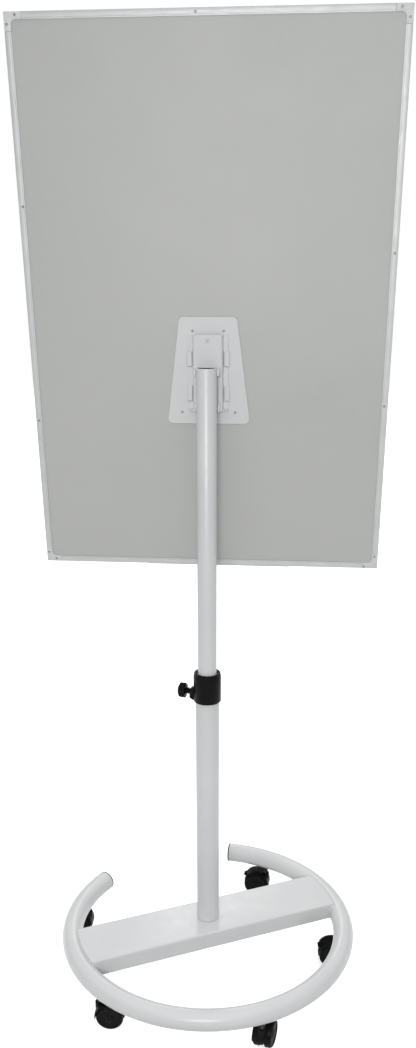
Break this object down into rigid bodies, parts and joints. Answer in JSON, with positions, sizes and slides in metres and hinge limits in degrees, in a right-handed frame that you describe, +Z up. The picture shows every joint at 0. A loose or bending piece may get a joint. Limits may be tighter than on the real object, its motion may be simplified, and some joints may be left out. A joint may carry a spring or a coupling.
{
  "type": "flip chart easel",
  "caption": "Mobile flip chart easel: portrait magnetic board on a telescopic mast with a clamp collar, over an open ring base with a crossbar and swivel castors.",
  "frame": {"origin": "on the mast's axis at floor level", "axes": "+Z up; the board's writing side faces -Y, X runs across the board"},
  "size_m": [0.7121, 0.6786, 1.9616],
  "materials": {
    "white_powder_coat": "satin",
    "black_plastic": "satin",
    "wheel_plastic": "matte",
    "bright_steel": "satin",
    "black_steel": "satin",
    "frame_aluminium": "satin",
    "corner_plastic": "satin",
    "galvanised_steel": "satin",
    "white_lacquer": "gloss",
    "honeycomb_core": "matte",
    "sliding_plastic": "satin"
  },
  "bodies": {
    "base": {"base_ring": "white_powder_coat", "ring_plug_right": "black_plastic", "ring_plug_left": "black_plastic", "base_crossbar": "white_powder_coat", "caster_a_stem": "black_steel", "caster_b_stem": "black_steel", "caster_c_stem": "black_steel", "caster_d_stem": "black_steel", "caster_e_stem": "black_steel", "lower_mast_tube": "white_powder_coat", "mast_foot_plug": "bright_steel", "mast_bolt": "bright_steel", "mast_bush": "sliding_plastic", "clamp_collar": "black_plastic"},
    "clamp_pad": {"clamp_pad": "sliding_plastic"},
    "clamp_knob": {"clamp_knob": "black_plastic"},
    "mast_glide": {"mast_glide": "sliding_plastic"},
    "board": {"upper_mast_tube": "white_powder_coat", "head_bracket": "white_powder_coat", "lock_screw": "bright_steel", "mounting_plate": "white_powder_coat", "back_panel": "galvanised_steel", "board_core": "honeycomb_core", "writing_surface": "white_lacquer", "frame_rail_top": "frame_aluminium", "frame_rail_bottom": "frame_aluminium", "frame_rail_right": "frame_aluminium", "frame_rail_left": "frame_aluminium", "frame_corner_top_right": "corner_plastic", "frame_corner_top_left": "corner_plastic", "frame_corner_bottom_right": "corner_plastic", "frame_corner_bottom_left": "corner_plastic", "pen_tray": "frame_aluminium", "pad_rail": "frame_aluminium"},
    "pad_clamp": {"pad_clamp_bar": "frame_aluminium"},
    "pad_peg_left": {"pad_peg_left": "sliding_plastic"},
    "pad_peg_right": {"pad_peg_right": "sliding_plastic"},
    "caster_a": {"caster_a_hood": "black_plastic"},
    "caster_a_wheels": {"caster_a_wheel_left": "wheel_plastic", "caster_a_wheel_right": "wheel_plastic", "caster_a_axle": "bright_steel"},
    "caster_a_brake": {"caster_a_brake_lever": "black_plastic"},
    "caster_b": {"caster_b_hood": "black_plastic"},
    "caster_b_wheels": {"caster_b_wheel_left": "wheel_plastic", "caster_b_wheel_right": "wheel_plastic", "caster_b_axle": "bright_steel"},
    "caster_b_brake": {"caster_b_brake_lever": "black_plastic"},
    "caster_c": {"caster_c_hood": "black_plastic"},
    "caster_c_wheels": {"caster_c_wheel_left": "wheel_plastic", "caster_c_wheel_right": "wheel_plastic", "caster_c_axle": "bright_steel"},
    "caster_d": {"caster_d_hood": "black_plastic"},
    "caster_d_wheels": {"caster_d_wheel_left": "wheel_plastic", "caster_d_wheel_right": "wheel_plastic", "caster_d_axle": "bright_steel"},
    "caster_e": {"caster_e_hood": "black_plastic"},
    "caster_e_wheels": {"caster_e_wheel_left": "wheel_plastic", "caster_e_wheel_right": "wheel_plastic", "caster_e_axle": "bright_steel"}
  },
  "joints": [
    {"name": "clamp_press", "type": "slide", "parent": "base", "child": "clamp_pad", "axis": [0.9857, -0.1685, 0], "range_m": [0, 0.0013]},
    {"name": "clamp_turn", "type": "hinge", "parent": "clamp_pad", "child": "clamp_knob", "pos_m": [0, 0, 0.698], "axis": [0.9857, -0.1685, 0], "range_deg": [0, 360]},
    {"name": "mast_height", "type": "slide", "parent": "base", "child": "mast_glide", "axis": [0, 0, 1], "range_m": [-0.22, 0.21]},
    {"name": "mast_swivel", "type": "hinge", "parent": "mast_glide", "child": "board", "pos_m": [0, 0, 0.385], "axis": [0, 0, 1], "continuous": true},
    {"name": "pad_clamp_lift", "type": "hinge", "parent": "board", "child": "pad_clamp", "pos_m": [0, -0.02812, 1.95405], "axis": [-1, 0, 0], "range_deg": [0, 95]},
    {"name": "pad_peg_left_slide", "type": "slide", "parent": "board", "child": "pad_peg_left", "axis": [1, 0, 0], "range_m": [-0.055, 0.055]},
    {"name": "pad_peg_right_slide", "type": "slide", "parent": "board", "child": "pad_peg_right", "axis": [1, 0, 0], "range_m": [-0.055, 0.055]},
    {"name": "caster_a_swivel", "type": "hinge", "parent": "base", "child": "caster_a", "pos_m": [-0.12539, -0.29115, 0.06], "axis": [0, 0, 1], "continuous": true},
    {"name": "caster_a_spin", "type": "hinge", "parent": "caster_a", "child": "caster_a_wheels", "pos_m": [-0.10151, -0.29353, 0.03], "axis": [0.0993, 0.9951, 0], "continuous": true},
    {"name": "caster_a_brake_press", "type": "hinge", "parent": "caster_a", "child": "caster_a_brake", "pos_m": [-0.0804, -0.29564, 0.05528], "axis": [0.0993, 0.9951, 0], "range_deg": [0, 6]},
    {"name": "caster_b_swivel", "type": "hinge", "parent": "base", "child": "caster_b", "pos_m": [-0.31641, -0.01935, 0.06], "axis": [0, 0, 1], "continuous": true},
    {"name": "caster_b_spin", "type": "hinge", "parent": "caster_b", "child": "caster_b_wheels", "pos_m": [-0.29251, -0.01714, 0.03], "axis": [-0.0924, 0.9957, 0], "continuous": true},
    {"name": "caster_b_brake_press", "type": "hinge", "parent": "caster_b", "child": "caster_b_brake", "pos_m": [-0.27139, -0.01518, 0.05528], "axis": [-0.0924, 0.9957, 0], "range_deg": [0, 6]},
    {"name": "caster_c_swivel", "type": "hinge", "parent": "base", "child": "caster_c", "pos_m": [0.21579, 0.23222, 0.06], "axis": [0, 0, 1], "continuous": true},
    {"name": "caster_c_spin", "type": "hinge", "parent": "caster_c", "child": "caster_c_wheels", "pos_m": [0.19179, 0.23209, 0.03], "axis": [0.0052, -1, 0], "continuous": true},
    {"name": "caster_d_swivel", "type": "hinge", "parent": "base", "child": "caster_d", "pos_m": [-0.14045, 0.28419, 0.06], "axis": [0, 0, 1], "continuous": true},
    {"name": "caster_d_spin", "type": "hinge", "parent": "caster_d", "child": "caster_d_wheels", "pos_m": [-0.14614, 0.26087, 0.03], "axis": [0.9715, -0.2368, 0], "continuous": true},
    {"name": "caster_e_swivel", "type": "hinge", "parent": "base", "child": "caster_e", "pos_m": [0.30517, -0.08578, 0.06], "axis": [0, 0, 1], "continuous": true},
    {"name": "caster_e_spin", "type": "hinge", "parent": "caster_e", "child": "caster_e_wheels", "pos_m": [0.32917, -0.08524, 0.03], "axis": [-0.0227, 0.9997, 0], "continuous": true}
  ],
  "couplings": [
    {"joint": "clamp_press", "follows": "clamp_turn", "m_per_rad": 0.00019894}
  ]
}
